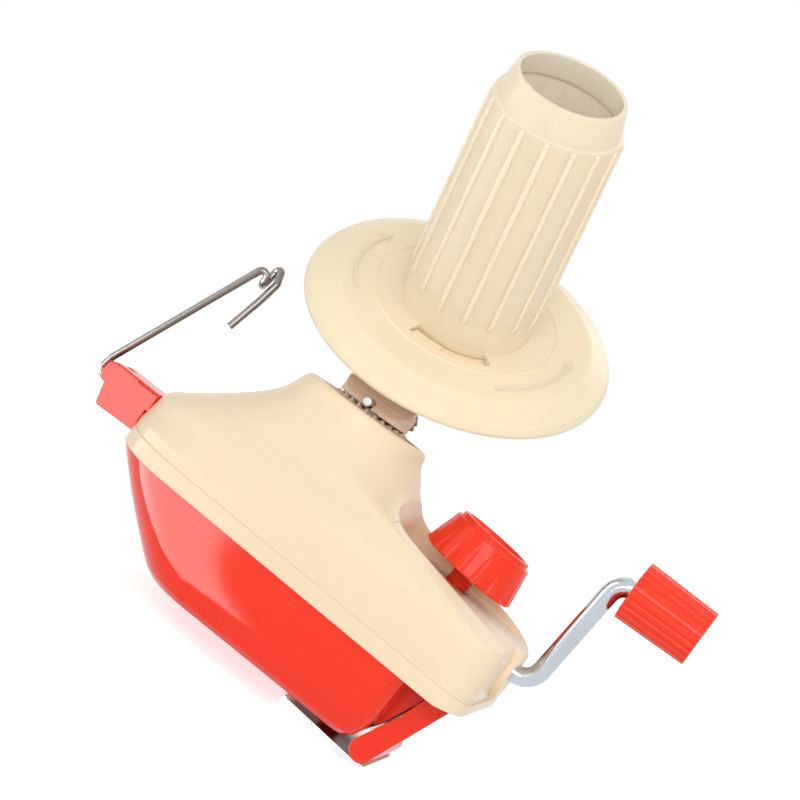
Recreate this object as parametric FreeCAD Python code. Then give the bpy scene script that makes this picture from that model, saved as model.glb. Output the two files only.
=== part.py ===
import FreeCAD, Part
import math
import os

# Yarn ball winder, all sizes in millimetres.
# +Z is up, +X runs along the body toward the crank, +Y is the far side.
# The origin lies on the spindle axis in the flat underside that sits on the table.

# Body
NECK_TOP = 85.5          # height of the neck above the table
SEAM = 29.25             # height of the joint between the two housings at the spindle axis
SEAM_SLOPE = 1.4         # the joint drops toward the crank by this angle, degrees
SEAM_LOW = 24.0          # a height below the whole joint
SEAM_HIGH = 31.0         # a height above the whole joint
EDGE_RISE = 10.0         # slope of the shell's lower edge at the crank end, degrees
GUIDE_END = -62.0        # body end on the wire guide side
CRANK_END = 88.0         # body end on the crank side
HALF_WIDTH = 38.0        # half the body width at the seam
SHELL_WALL = 2.4
BASE_FLOOR = 3.0
BAND_HEIGHT = 5.8        # raised band around the lower edge of the upper shell
BAND_STEP = 0.7

# Fits
RUNNING = 0.05           # radial gap of a turning fit
LOOSE = 0.3              # gap between pieces that only lie together

# Crank drive
CRANK_HEIGHT = 46.0
CRANK_THROW = 44.6
ROD_RADIUS = 3.3
CRANK_TEETH = 54
PINION_TEETH = 18
GEAR_MODULE = 1.0

# Spindle
SPINDLE_RADIUS = 3.0
SPINDLE_FOOT = 5.0
SPINDLE_TOP = 101.0
COLLAR_RADIUS = 13.6
COLLAR_BOTTOM = 87.0
COLLAR_TOP = 93.0
DRIVE_PIN_RADIUS = 1.5
DRIVE_PIN_HEIGHT = 88.6

# Winding head
HEAD_TILT = 38.5         # angle between spool axis and spindle, degrees
FLANGE_OFFSET = 38.4     # flange rim below the point where the two axes cross
AXES_CROSSING = 158.9    # height of that point
FLANGE_RADIUS = 57.0
SPOOL_LENGTH = 99.7      # flange rim to spool mouth, along the spool axis
SPOOL_RADIUS = 24.0
RIB_COUNT = 16
SUN_TEETH = 26
PLANET_TEETH = 16
LAY_TEETH = 14
SPOOL_TEETH = 39
LAY_SHAFT_RADIUS = 2.0
AXLE_RADIUS = 4.0

# Table clamp
CLAMP_LEAN = 5.5         # lean of the clamp screw toward the crank, degrees
CLAMP_SIDE = 9.5         # the screw passes beside the crank rod
SCREW_RADIUS = 4.0
KNOB_BASE = (56.6, 62.0) # x and z of the middle of the knob underside
KNOB_HEIGHT = 15.4
KNOB_RADIUS = 18.1
PIVOT = (78.6, 31.0)     # x and z of the jaw pivot
PIVOT_RADIUS = 2.0
PLATE_SLOPE = 4.1
PLATE_HALF_WIDTH = 21.6
PLATE_THICKNESS = 1.3

# Wire guide
WIRE_RADIUS = 1.35
HINGE = (-82.4, 43.8)    # x and z of the wire hinge
HINGE_PIN_RADIUS = 1.2
HOLDER_HALF_WIDTH = 8.0

X_AXIS = FreeCAD.Vector(1, 0, 0)
Y_AXIS = FreeCAD.Vector(0, 1, 0)
Z_AXIS = FreeCAD.Vector(0, 0, 1)


def vec(x, y, z):
    return FreeCAD.Vector(x, y, z)


def rod(radius, start, end):
    """Solid cylinder between two points."""
    axis = end - start
    return Part.makeCylinder(radius, axis.Length, start, axis)


def box(x_range, y_range, z_range):
    """Box given by its lowest and highest coordinates."""
    size = [high - low for low, high in (x_range, y_range, z_range)]
    return Part.makeBox(size[0], size[1], size[2], vec(x_range[0], y_range[0], z_range[0]))


def revolve(profile):
    """Turn a closed outline of (radius, height) points round the Z axis."""
    points = [vec(radius, 0, height) for radius, height in profile]
    face = Part.Face(Part.makePolygon(points + points[:1]))
    return face.revolve(vec(0, 0, 0), Z_AXIS, 360)


def join(shapes):
    """Fuse shapes and remove the seams between them."""
    if len(shapes) == 1:
        return shapes[0]
    return shapes[0].fuse(shapes[1:]).removeSplitter()


def extrude_xz(points, y_low, y_high):
    """Plate with an outline given in x and z, standing between two y values."""
    outline = [vec(x, y_low, z) for x, z in points]
    face = Part.Face(Part.makePolygon(outline + outline[:1]))
    return face.extrude(vec(0, y_high - y_low, 0))


def bent_rod(points, radius, bend):
    """Round rod along straight legs joined by arcs of one bend radius."""
    edges = []
    cursor = points[0]
    for index in range(1, len(points) - 1):
        before = (points[index - 1] - points[index]).normalize()
        after = (points[index + 1] - points[index]).normalize()
        half = before.getAngle(after) / 2
        reach = bend / math.tan(half)
        start = points[index] + before * reach
        end = points[index] + after * reach
        inward = (before + after).normalize()
        centre = points[index] + inward * (bend / math.sin(half))
        edges.append(Part.makeLine(cursor, start))
        edges.append(Part.Arc(start, centre - inward * bend, end).toShape())
        cursor = end
    edges.append(Part.makeLine(cursor, points[-1]))
    circle = Part.Wire(Part.Circle(points[0], points[1] - points[0], radius).toShape())
    return Part.Wire(edges).makePipeShell([circle], True, False)


# Tapered outlines of the two housings
def rounded_outline(z, left, right, half_width, left_round, right_round):
    """Closed outline at one height: straight sides joined by four corner arcs."""
    corners = (
        (right - right_round, half_width - right_round, right_round, 0),
        (left + left_round, half_width - left_round, left_round, 90),
        (left + left_round, left_round - half_width, left_round, 180),
        (right - right_round, right_round - half_width, right_round, 270),
    )
    arcs = []
    for x, y, radius, start in corners:
        points = []
        for step in (0, 45, 90):
            angle = math.radians(start + step)
            points.append(vec(x + radius * math.cos(angle), y + radius * math.sin(angle), z))
        arcs.append(points)
    edges = []
    for index, points in enumerate(arcs):
        edges.append(Part.Arc(points[0], points[1], points[2]).toShape())
        following = arcs[(index + 1) % len(arcs)]
        edges.append(Part.makeLine(points[2], following[0]))
    return Part.Wire(edges)


def housing_loft(sections, ruled):
    wires = [rounded_outline(*section) for section in sections]
    return Part.makeLoft(wires, True, ruled)


def inset(section, amount, drop=0.0):
    """The same outline moved inward and down by a wall thickness."""
    z, left, right, half_width, left_round, right_round = section
    return (z - drop, left + amount, right - amount, half_width - amount,
            left_round - amount, right_round - amount)


# Height, guide end, crank end, half width, corner radius at each end
LOWER_SECTIONS = (
    (0.0, -23.5, 58.0, 26.0, 21.0, 4.6),
    (1.0, -28.2, 61.0, 29.5, 23.5, 5.0),
    (3.0, -31.0, 63.3, 32.0, 25.5, 5.0),
    (10.0, -39.4, 66.2, 34.6, 28.0, 5.0),
    (20.0, -50.8, 67.3, 36.3, 30.0, 5.0),
    (SEAM_HIGH, -61.8, 68.4, 37.2, 31.0, 5.0),
)
CREASE = 50.0            # the steep sides of the upper shell end here
UPPER_SECTIONS = (
    (CREASE, -59.6, 87.6, 37.2, 32.0, 9.0),
    (52.0, -58.2, 86.8, 36.6, 31.0, 9.5),
    (54.5, -54.6, 83.4, 35.6, 30.0, 11.0),
    (57.4, -50.5, 76.2, 34.2, 29.0, 13.0),
    (60.0, -46.9, 62.6, 32.4, 28.0, 15.5),
    (63.0, -43.0, 48.8, 31.0, 27.5, 20.0),
    (67.0, -38.0, 36.5, 29.4, 26.8, 23.0),
    (72.0, -32.6, 30.2, 27.3, 25.6, 24.2),
    (78.0, -28.1, 26.2, 25.3, 24.6, 24.2),
    (NECK_TOP, -24.4, 23.8, 24.1, 23.8, 23.6),
)
BASE_OUTLINE = (GUIDE_END, CRANK_END - 0.4, HALF_WIDTH, 33.0, 8.0)
WIDEST = 40.0            # height where the crank end wall is farthest out
WIDEST_OUTLINE = (GUIDE_END, CRANK_END, HALF_WIDTH, 33.0, 11.0)


def bevel_gear(teeth, half_angle, slant, face_width, addendum, dedendum, phase, thickness=0.45):
    """Straight bevel gear with its apex at the origin and its body along +Z.

    Every tooth flank is flat and points at the apex.
    """
    pressure = math.tan(math.radians(20))
    sine = math.sin(math.radians(half_angle))
    cosine = math.cos(math.radians(half_angle))
    pitch = 2 * math.pi / teeth
    tooth = thickness * pitch * slant * sine
    inner = (slant - face_width) / slant

    def ring_point(height, width, angle, scale):
        radius = slant * sine + height * cosine
        axial = slant * cosine - height * sine
        turn = angle + width / (2 * radius)
        return vec(radius * math.cos(turn), radius * math.sin(turn), axial) * scale

    top_width = tooth - 2 * addendum * pressure
    root_width = tooth + 2 * dedendum * pressure
    faces = []
    rims = {1.0: [], inner: []}
    for index in range(teeth):
        angle = index * pitch + math.radians(phase)
        corners = {}
        for scale in (1.0, inner):
            corners[scale] = [
                ring_point(-dedendum, -root_width, angle, scale),
                ring_point(addendum, -top_width, angle, scale),
                ring_point(addendum, top_width, angle, scale),
                ring_point(-dedendum, root_width, angle, scale),
            ]
            following = ring_point(-dedendum, -root_width, angle + pitch, scale)
            corners[scale].append(following)
            rims[scale] += [corners[scale][0], corners[scale][3]]
            faces.append(polygon_face(corners[scale][:4]))
        outer, small = corners[1.0], corners[inner]
        for first in range(4):
            faces.append(polygon_face([outer[first], outer[first + 1],
                                       small[first + 1], small[first]]))
    for rim in rims.values():
        faces.append(polygon_face(rim))
    shell = Part.makeShell(faces)
    shell.sewShape()
    solid = Part.makeSolid(shell)
    if solid.Volume < 0:
        solid.reverse()
    return solid


def polygon_face(points):
    return Part.Face(Part.makePolygon(points + points[:1]))


def spur_gear(teeth, addendum, dedendum, width, phase, thickness=0.44):
    """Straight gear of unit module standing on the XY plane."""
    pressure = math.tan(math.radians(20))
    pitch = 2 * math.pi / teeth
    pitch_radius = teeth * GEAR_MODULE / 2
    tooth = thickness * math.pi * GEAR_MODULE
    levels = (
        (pitch_radius - dedendum, -(tooth + 2 * dedendum * pressure)),
        (pitch_radius + addendum, -(tooth - 2 * addendum * pressure)),
        (pitch_radius + addendum, tooth - 2 * addendum * pressure),
        (pitch_radius - dedendum, tooth + 2 * dedendum * pressure),
    )
    outline = []
    for index in range(teeth):
        angle = index * pitch + math.radians(phase)
        for radius, width_here in levels:
            turn = angle + width_here / (2 * radius)
            outline.append(vec(radius * math.cos(turn), radius * math.sin(turn), 0))
    return polygon_face(outline).extrude(vec(0, 0, width))


# Frames that parts are built in and then moved to
def tilted_frame(distance, side=0.0):
    """Frame on the spool axis, measured from the flange rim; side is along its own Y."""
    tilt = math.radians(HEAD_TILT)
    axis = vec(0, -math.sin(tilt), math.cos(tilt))
    across = vec(0, math.cos(tilt), math.sin(tilt))
    origin = vec(0, 0, AXES_CROSSING) + axis * (distance - FLANGE_OFFSET) + across * side
    return FreeCAD.Placement(origin, FreeCAD.Rotation(X_AXIS, HEAD_TILT))


def clamp_axis_point(z):
    """Point of the clamp screw axis at a height."""
    lean = math.tan(math.radians(CLAMP_LEAN))
    return vec(KNOB_BASE[0] + (z - KNOB_BASE[1]) * lean, CLAMP_SIDE, z)


def clamp_frame(z):
    return FreeCAD.Placement(clamp_axis_point(z), FreeCAD.Rotation(Y_AXIS, CLAMP_LEAN))


def moved(shape, placement):
    result = shape.copy()
    result.Placement = placement.multiply(result.Placement)
    return result


# Gear train of the winding head: the fixed ring drives the planet on the lay shaft
SUN_ANGLE = math.degrees(math.atan2(
    math.sin(math.radians(HEAD_TILT)),
    PLANET_TEETH / SUN_TEETH + math.cos(math.radians(HEAD_TILT))))
PLANET_ANGLE = HEAD_TILT - SUN_ANGLE
LAY_SIDE = -(LAY_TEETH + SPOOL_TEETH) * GEAR_MODULE / 2
LAY_APEX = AXES_CROSSING + LAY_SIDE / math.sin(math.radians(HEAD_TILT))
SUN_RADIUS = 13.4
SUN_SLANT_IN = SUN_RADIUS / math.sin(math.radians(SUN_ANGLE))
SUN_FACE = 3.6
SUN_SLANT = SUN_SLANT_IN + SUN_FACE
LAY_APEX_DISTANCE = FLANGE_OFFSET + LAY_SIDE / math.tan(math.radians(HEAD_TILT))


def lay_frame():
    """Frame with its origin in the apex of the planet gear, its Z pointing down the lay shaft."""
    tilt = math.radians(HEAD_TILT)
    return FreeCAD.Placement(vec(0, 0, LAY_APEX),
                             FreeCAD.Rotation(X_AXIS, HEAD_TILT + 180))


# Housings
NECK_FLOOR = 81.0
NECK_ROUND = 2.0         # rounded outer edge of the neck
NECK_OPENING = 18.0
SPIGOT_RADIUS = 8.0
BOSS_RADIUS = 10.0
BOSS_HEIGHT = 45.0
BOSS_PROUD = 1.9         # how far the crank boss stands out of the end wall


def above_seam(lift=0.0):
    """Everything above the sloping joint plane, raised by a distance."""
    space = box((-150, 150), (-60, 60), (0, 80))
    return moved(space, FreeCAD.Placement(vec(0, 0, SEAM + lift), FreeCAD.Rotation(Y_AXIS, SEAM_SLOPE)))


def below_rising_edge():
    """Everything under the last part of the joint, which rises toward the crank."""
    start = CRANK_END - 9.0
    height = SEAM - start * math.tan(math.radians(SEAM_SLOPE))
    space = box((0, 60), (-60, 60), (-40, 0))
    return moved(space, FreeCAD.Placement(vec(start, 0, height), FreeCAD.Rotation(Y_AXIS, -EDGE_RISE)))


def upper_shell():
    low = (SEAM_LOW,) + BASE_OUTLINE
    widest = (WIDEST,) + WIDEST_OUTLINE
    band = housing_loft([low, widest], True).cut(above_seam(BAND_HEIGHT))
    sides = housing_loft([inset(low, BAND_STEP), inset(widest, BAND_STEP * 0.7), UPPER_SECTIONS[0]], True)
    mound = housing_loft(UPPER_SECTIONS, False)
    rim_edges = [edge for edge in mound.Edges if edge.BoundBox.ZMin > NECK_TOP - 0.01]
    mound = mound.makeFillet(NECK_ROUND, rim_edges)
    crank_boss = rod(BOSS_RADIUS, vec(CRANK_END - 6, 0, BOSS_HEIGHT),
                     vec(CRANK_END + BOSS_PROUD, 0, BOSS_HEIGHT))
    outside = join([band, sides, mound, crank_boss]).common(above_seam()).cut(below_rising_edge())

    # Room inside, kept a wall thickness clear of the clamp channel and the neck floor
    crease = UPPER_SECTIONS[0]
    room_low = [inset(low, SHELL_WALL), inset(widest, SHELL_WALL),
                inset((crease[0] - SHELL_WALL,) + crease[1:], SHELL_WALL)]
    room_high = [inset(section, SHELL_WALL, SHELL_WALL) for section in UPPER_SECTIONS[:-1]]
    room = housing_loft(room_low, True).fuse(housing_loft(room_high, False))
    above_room = box((-70, 95), (-45, 45), (NECK_TOP - 9.0, NECK_TOP))
    neck_room = rod(NECK_OPENING + 3, vec(0, 0, NECK_TOP - 12), vec(0, 0, NECK_FLOOR - 2.5))
    room = room.cut([above_room] + clamp_channel(SHELL_WALL)).fuse(neck_room)
    shell = outside.cut(room)
    posts = [rod(COLUMN_RADIUS, vec(x, y, SEAM_LOW), vec(x, y, NECK_TOP)) for x, y in SCREW_SPOTS]
    posts = [post.common(above_seam()).common(outside) for post in posts]
    screw_holes = [rod(SCREW_SHANK, vec(x, y, SEAM_LOW), vec(x, y, SEAM + SCREW_REACH + 1))
                   for x, y in SCREW_SPOTS]
    shell = join([shell] + posts).cut(screw_holes + clamp_channel(0.0))

    opening = revolve([(0, NECK_FLOOR), (NECK_OPENING, NECK_FLOOR), (NECK_OPENING, NECK_TOP - 1.8),
                       (NECK_OPENING + 2.6, NECK_TOP + 0.5), (0, NECK_TOP + 0.5)])
    spigot_hole = rod(SPIGOT_RADIUS, vec(0, 0, NECK_FLOOR - 4), vec(0, 0, NECK_FLOOR + 1))
    crank_hole = rod(ROD_RADIUS + RUNNING, vec(60, 0, CRANK_HEIGHT), vec(95, 0, CRANK_HEIGHT))
    socket = box((GUIDE_END - 5, GUIDE_END + 10), (-PLUG_HALF, PLUG_HALF), PLUG_HEIGHTS)
    return shell.cut([opening, spigot_hole, crank_hole, channel_slot(), socket])


CHANNEL_POINT = (57.0, 56.1)     # a point of the clamp channel floor in x and z
CHANNEL_START = -25.5            # left end of the floor, measured from that point
CHANNEL_MIDDLE = 1.3             # the channel lies a little to the far side
CHANNEL_HALF_WIDTH = 27.4
CHANNEL_SLOPE = 5.5
CHANNEL_SPREAD = 2.2             # the side walls lean outward by this much
NEAR_BEVEL = ((38.6, -30.0, 62.3), (81.1, -30.0, 53.0), (81.1, -22.0, 55.0))


def clamp_channel(grow):
    """Cutters for the channel of the clamp knob: a shallow trough and a bevelled near edge."""
    half = CHANNEL_HALF_WIDTH + grow
    left = CHANNEL_START - grow
    spread = CHANNEL_SPREAD
    floor = (-grow, left, 60.0, half, 11.0, 11.0)
    top = (11.0, left - spread, 60.0 + spread, half + spread, 13.0, 13.0)
    upper = (40.0, left - 3 * spread, 60.0 + spread, half + spread, 13.0, 13.0)
    trough = housing_loft([floor, top, upper], True)
    foot_edges = [edge for edge in trough.Edges if edge.BoundBox.ZMax < 0.01 - grow]
    trough = trough.makeFillet(3.0, foot_edges)
    place = FreeCAD.Placement(vec(CHANNEL_POINT[0], CHANNEL_MIDDLE, CHANNEL_POINT[1]),
                              FreeCAD.Rotation(Y_AXIS, CHANNEL_SLOPE))
    first, second, third = [vec(*point) for point in NEAR_BEVEL]
    normal = (second - first).cross(third - first).normalize()
    lift = FreeCAD.Placement(first - normal * grow, FreeCAD.Rotation(Z_AXIS, normal))
    bevel = moved(box((-4, 80), (-30, 15), (0, 40)), lift)
    return [moved(trough, place), bevel]


SCREW_GAP = 0.6
SLOT_OPEN = 3.1                  # slot length left for the swing of the clamp screw
SLOT_CLOSE = 1.2
WAY = (49.3, 55.4)               # ends of the same slot through the lower housing


def oblong(x_low, x_high, y, radius, z_low, z_high):
    """Upright hole with round ends."""
    body = box((x_low, x_high), (y - radius, y + radius), (z_low, z_high))
    ends = [rod(radius, vec(x, y, z_low), vec(x, y, z_high)) for x in (x_low, x_high)]
    return join([body] + ends)


def channel_slot():
    """Slot in the channel floor that the clamp screw swings in."""
    middle = clamp_axis_point(CHANNEL_POINT[1]).x
    return oblong(middle - SLOT_OPEN, middle + SLOT_CLOSE, CLAMP_SIDE,
                  SCREW_RADIUS + SCREW_GAP, CHANNEL_POINT[1] - 8, CHANNEL_POINT[1] + 6)


REAR_BLOCK_HALF = 17.6           # the jaw straddles this block
NUT_RADIUS = SCREW_RADIUS + 2.0
NUT_HALF = 8.0


def nut_centre():
    """Point of the screw axis nearest to the jaw pivot."""
    lean = math.radians(CLAMP_LEAN)
    axis = vec(math.sin(lean), 0, math.cos(lean))
    base = vec(KNOB_BASE[0], CLAMP_SIDE, KNOB_BASE[1])
    return base + axis * (vec(PIVOT[0], CLAMP_SIDE, PIVOT[1]) - base).dot(axis)


SCREW_SPOTS = ((-18, 20), (-18, -20), (44, -25), (44, 25))
COLUMN_RADIUS = 4.6
SCREW_SHANK = 1.6
SCREW_HEAD = 2.9
SCREW_SEAT = 8.0         # depth of the screw seat below the housing joint
SCREW_REACH = 8.0        # length of thread in the upper shell


def lower_housing():
    outside = join([housing_loft(LOWER_SECTIONS[:3], True), housing_loft(LOWER_SECTIONS[2:], False)])
    room_sections = [inset(section, SHELL_WALL) for section in LOWER_SECTIONS[1:]]
    room_sections[0] = (BASE_FLOOR,) + room_sections[0][1:]
    room_sections.append((SEAM_HIGH + 1,) + room_sections[-1][1:])
    shell = outside.cut([housing_loft(room_sections, True), above_seam()])

    inside = BASE_FLOOR - 1
    foot = rod(7.0, vec(0, 0, inside), vec(0, 0, 15))
    web = box((27, 31), (-14, 14), (inside, CRANK_HEIGHT + 9))
    web_feet = box((24, 34), (-14, 14), (inside, 12))
    nut = nut_centre()
    nut_block = box((nut.x - 9, nut.x + 9), (nut.y - NUT_HALF - 0.9, nut.y + NUT_HALF + 0.9),
                    (inside, nut.z + 7.6))
    columns = [rod(COLUMN_RADIUS, vec(x, y, inside), vec(x, y, SEAM_HIGH)).cut(above_seam())
               for x, y in SCREW_SPOTS]
    body = join([shell, foot, web, web_feet, rear_block(), nut_block] + columns)

    cuts = [
        rod(SPINDLE_RADIUS + RUNNING, vec(0, 0, SPINDLE_FOOT - 0.1), vec(0, 0, 16)),
        rod(ROD_RADIUS + RUNNING, vec(20, 0, CRANK_HEIGHT), vec(40, 0, CRANK_HEIGHT)),
        rod(PIVOT_RADIUS, vec(PIVOT[0], -30, PIVOT[1]), vec(PIVOT[0], 30, PIVOT[1])),
        oblong(WAY[0], WAY[1], CLAMP_SIDE, SCREW_RADIUS + SCREW_GAP, -2, nut.z + 9),
        rod(NUT_RADIUS + RUNNING, vec(nut.x, nut.y - NUT_HALF - 0.1, nut.z),
            vec(nut.x, nut.y + NUT_HALF + 2, nut.z)),
    ]
    for x, y in SCREW_SPOTS:
        cuts.append(rod(SCREW_SHANK, vec(x, y, 1), vec(x, y, SEAM_HIGH + 1)))
        cuts.append(rod(SCREW_HEAD + 0.2, vec(x, y, -1), vec(x, y, SEAM - SCREW_SEAT)))
    return body.cut(cuts)


def rear_block():
    """Narrow block behind the red bowl that carries the jaw pivot."""
    outline = [(58, 8), (66.4, 8), (70.3, 16), (73.6, 23.5), (75.6, 28.0),
               (76.0, 35.0), (58, 35.0)]
    block = extrude_xz(outline, -REAR_BLOCK_HALF, REAR_BLOCK_HALF)
    eye = rod(PIVOT_RADIUS + 1.9, vec(PIVOT[0], -REAR_BLOCK_HALF, PIVOT[1]),
              vec(PIVOT[0], REAR_BLOCK_HALF, PIVOT[1]))
    return join([block, eye])


def housing_screw(x, y):
    """Cross-head screw driven from below, deep in its column."""
    seat = SEAM - SCREW_SEAT
    head = rod(SCREW_HEAD, vec(x, y, seat - 2), vec(x, y, seat))
    shank = rod(SCREW_SHANK, vec(x, y, seat - 1), vec(x, y, SEAM + SCREW_REACH))
    recess = [box((x - 1.6, x + 1.6), (y - 0.35, y + 0.35), (seat - 3, seat - 0.8)),
              box((x - 0.35, x + 0.35), (y - 1.6, y + 1.6), (seat - 3, seat - 0.8))]
    return join([head, shank]).cut(recess)


# Crank drive
CRANK_CONE = math.degrees(math.atan2(CRANK_TEETH, PINION_TEETH))
CRANK_PITCH = CRANK_TEETH * GEAR_MODULE / 2
CRANK_SLANT = CRANK_PITCH / math.sin(math.radians(CRANK_CONE))
CRANK_FACE = 6.5
ADDENDUM = 0.8
DEDENDUM = 1.15
CRANK_ROD_START = 12.0
CRANK_BEND = 6.5
THROW_X = (96.0, 99.9)   # x of the throw at its foot and at its top
GRIP_START = 105.0
GRIP_END = 131.0
GRIP_RADIUS = 10.6
ROD_END = 127.0


def crank_gear():
    teeth = bevel_gear(CRANK_TEETH, CRANK_CONE, CRANK_SLANT, CRANK_FACE, ADDENDUM, DEDENDUM, 0)
    root = CRANK_PITCH - DEDENDUM * math.cos(math.radians(CRANK_CONE))
    back = CRANK_SLANT * math.cos(math.radians(CRANK_CONE)) \
        + DEDENDUM * math.sin(math.radians(CRANK_CONE))
    disc = rod(root - 1.0, vec(0, 0, back - 0.5), vec(0, 0, back + 3.0))
    hub = rod(8.0, vec(0, 0, back), vec(0, 0, 26.8))
    hollow = revolve([(11.0, back + 1.4), (root - 5.0, back + 1.4),
                      (root - 5.0, back + 3.5), (11.0, back + 3.5)])
    bore = rod(ROD_RADIUS, vec(0, 0, 0), vec(0, 0, 40))
    gear = join([teeth, disc, hub]).cut([hollow, bore])
    return moved(gear, FreeCAD.Placement(vec(0, 0, CRANK_HEIGHT), FreeCAD.Rotation(Y_AXIS, 90)))


def spindle_pinion():
    cone = 90 - CRANK_CONE
    teeth = bevel_gear(PINION_TEETH, cone, CRANK_SLANT, CRANK_FACE, ADDENDUM, DEDENDUM,
                       180.0 / PINION_TEETH)
    back = CRANK_SLANT * math.cos(math.radians(cone)) + DEDENDUM * math.sin(math.radians(cone))
    hub = rod(6.0, vec(0, 0, back - 0.3), vec(0, 0, NECK_FLOOR - 4.0 - CRANK_HEIGHT))
    gear = join([teeth, hub]).cut(rod(SPINDLE_RADIUS, vec(0, 0, 0), vec(0, 0, 60)))
    return moved(gear, FreeCAD.Placement(vec(0, 0, CRANK_HEIGHT), FreeCAD.Rotation()))


def crank_rod():
    """Bent steel rod: shaft, slightly leaning throw and grip pin."""
    low, high = CRANK_HEIGHT, CRANK_HEIGHT + CRANK_THROW
    points = [vec(CRANK_ROD_START, 0, low), vec(THROW_X[0], 0, low),
              vec(THROW_X[1], 0, high), vec(ROD_END, 0, high)]
    return bent_rod(points, ROD_RADIUS, CRANK_BEND)


def crank_grip():
    """Lengthwise fluted grip, closed at its outer end."""
    height = CRANK_HEIGHT + CRANK_THROW
    length = GRIP_END - GRIP_START
    body = Part.makeCone(GRIP_RADIUS, GRIP_RADIUS - 0.7, length, vec(0, 0, 0), Z_AXIS)
    flute_count = 24
    flutes = []
    for index in range(flute_count):
        angle = 2 * math.pi * index / flute_count
        x = (GRIP_RADIUS + 0.35) * math.cos(angle)
        y = (GRIP_RADIUS + 0.35) * math.sin(angle)
        flutes.append(rod(0.75, vec(x, y, -1), vec(x * 0.934, y * 0.934, length + 1)))
    bore = rod(ROD_RADIUS + RUNNING, vec(0, 0, -1), vec(0, 0, ROD_END - GRIP_START + 0.4))
    mouth = rod(6.4, vec(0, 0, -1), vec(0, 0, 5.0))
    grip = body.cut(flutes + [bore, mouth])
    return moved(grip, FreeCAD.Placement(vec(GRIP_START, 0, height), FreeCAD.Rotation(Y_AXIS, 90)))


# Spindle and fixed ring
def spindle():
    shaft = rod(SPINDLE_RADIUS, vec(0, 0, SPINDLE_FOOT), vec(0, 0, SPINDLE_TOP))
    cross = rod(DRIVE_PIN_RADIUS, vec(0, -20, DRIVE_PIN_HEIGHT), vec(0, 20, DRIVE_PIN_HEIGHT))
    return shaft.cut(cross)


def drive_pin():
    return rod(DRIVE_PIN_RADIUS, vec(0, -COLLAR_RADIUS + 0.1, DRIVE_PIN_HEIGHT),
               vec(0, 9.0, DRIVE_PIN_HEIGHT))


def sun_ring():
    """Fixed toothed ring in the neck, which also guides the spindle."""
    gear = bevel_gear(SUN_TEETH, SUN_ANGLE, SUN_SLANT, SUN_FACE, ADDENDUM, DEDENDUM,
                      180.0 / SUN_TEETH + 90)
    gear = moved(gear, FreeCAD.Placement(vec(0, 0, LAY_APEX), FreeCAD.Rotation(X_AXIS, 180)))
    plate = rod(NECK_OPENING - 0.05, vec(0, 0, NECK_FLOOR), vec(0, 0, NECK_FLOOR + 1.6))
    low = gear.BoundBox.ZMin
    core = rod(12.0, vec(0, 0, NECK_FLOOR), vec(0, 0, low + 1.0))
    spigot = rod(SPIGOT_RADIUS, vec(0, 0, NECK_FLOOR - 2.5), vec(0, 0, NECK_FLOOR + 0.5))
    ring = join([gear, plate, core, spigot])
    return ring.cut(rod(SPINDLE_RADIUS + RUNNING, vec(0, 0, 60), vec(0, 0, 100)))


# Winding head
SLAB_BOTTOM = -16.0      # distances from the flange rim along the spool axis
SLAB_TOP = -11.0
GEAR_BOTTOM = -5.0
GEAR_TOP = 0.0
HUB_TOP = 40.0
SEAT_TOP = 5.0
WEB_TOP = 7.6
SLAB_RADIUS = 10.5


def head_carrier():
    """Turning arm: collar on the spindle and a slab that holds the two inclined shafts."""
    collar = rod(COLLAR_RADIUS, vec(0, 0, COLLAR_BOTTOM), vec(0, 0, COLLAR_TOP))
    boss = rod(COLLAR_RADIUS - 0.7, vec(0, 0, COLLAR_TOP - 0.5), vec(0, 0, COLLAR_TOP + 8))
    slab = box((-SLAB_RADIUS, SLAB_RADIUS), (LAY_SIDE, 0), (SLAB_BOTTOM, SLAB_TOP))
    ends = [rod(SLAB_RADIUS, vec(0, y, SLAB_BOTTOM), vec(0, y, SLAB_TOP)) for y in (LAY_SIDE, 0)]
    axle_boss = rod(7.0, vec(0, 0, SLAB_TOP - 1), vec(0, 0, GEAR_BOTTOM - 0.3))
    upper = join([slab, axle_boss] + ends)
    upper = moved(upper, tilted_frame(0))
    lean_post = rod(9.0, vec(0, 0, COLLAR_TOP), vec(0, 6.0, COLLAR_TOP + 11))
    slab_space = moved(box((-40, 40), (-80, 60), (SLAB_TOP, 60)), tilted_frame(0))
    base = join([collar, boss, lean_post]).cut(slab_space)
    carrier = join([base, upper])

    pinion_way = moved(rod(9.6, vec(0, LAY_SIDE, -45), vec(0, LAY_SIDE, PLANET_HUB_TOP + 0.3)),
                       tilted_frame(0))
    shaft_way = moved(rod(LAY_SHAFT_RADIUS + RUNNING, vec(0, LAY_SIDE, -45), vec(0, LAY_SIDE, 10)),
                      tilted_frame(0))
    axle_hole = moved(rod(AXLE_RADIUS, vec(0, 0, -30), vec(0, 0, 10)), tilted_frame(0))
    bore = rod(SPINDLE_RADIUS, vec(0, 0, 80), vec(0, 0, SPINDLE_TOP))
    notch = box((-DRIVE_PIN_RADIUS - 0.1, DRIVE_PIN_RADIUS + 0.1), (-20, 20),
                (COLLAR_BOTTOM - 1, DRIVE_PIN_HEIGHT))
    notch_top = rod(DRIVE_PIN_RADIUS + 0.1, vec(0, -20, DRIVE_PIN_HEIGHT), vec(0, 20, DRIVE_PIN_HEIGHT))
    return carrier.cut([pinion_way, shaft_way, axle_hole, bore, notch, notch_top])


PLANET_HUB_TOP = SLAB_BOTTOM - 0.3


def lay_shaft():
    """Small steel shaft carrying the planet gear below the slab and the drive gear above it."""
    return moved(rod(LAY_SHAFT_RADIUS, vec(0, LAY_SIDE, -31.0), vec(0, LAY_SIDE, GEAR_TOP + 0.8)),
                 tilted_frame(0))


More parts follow.
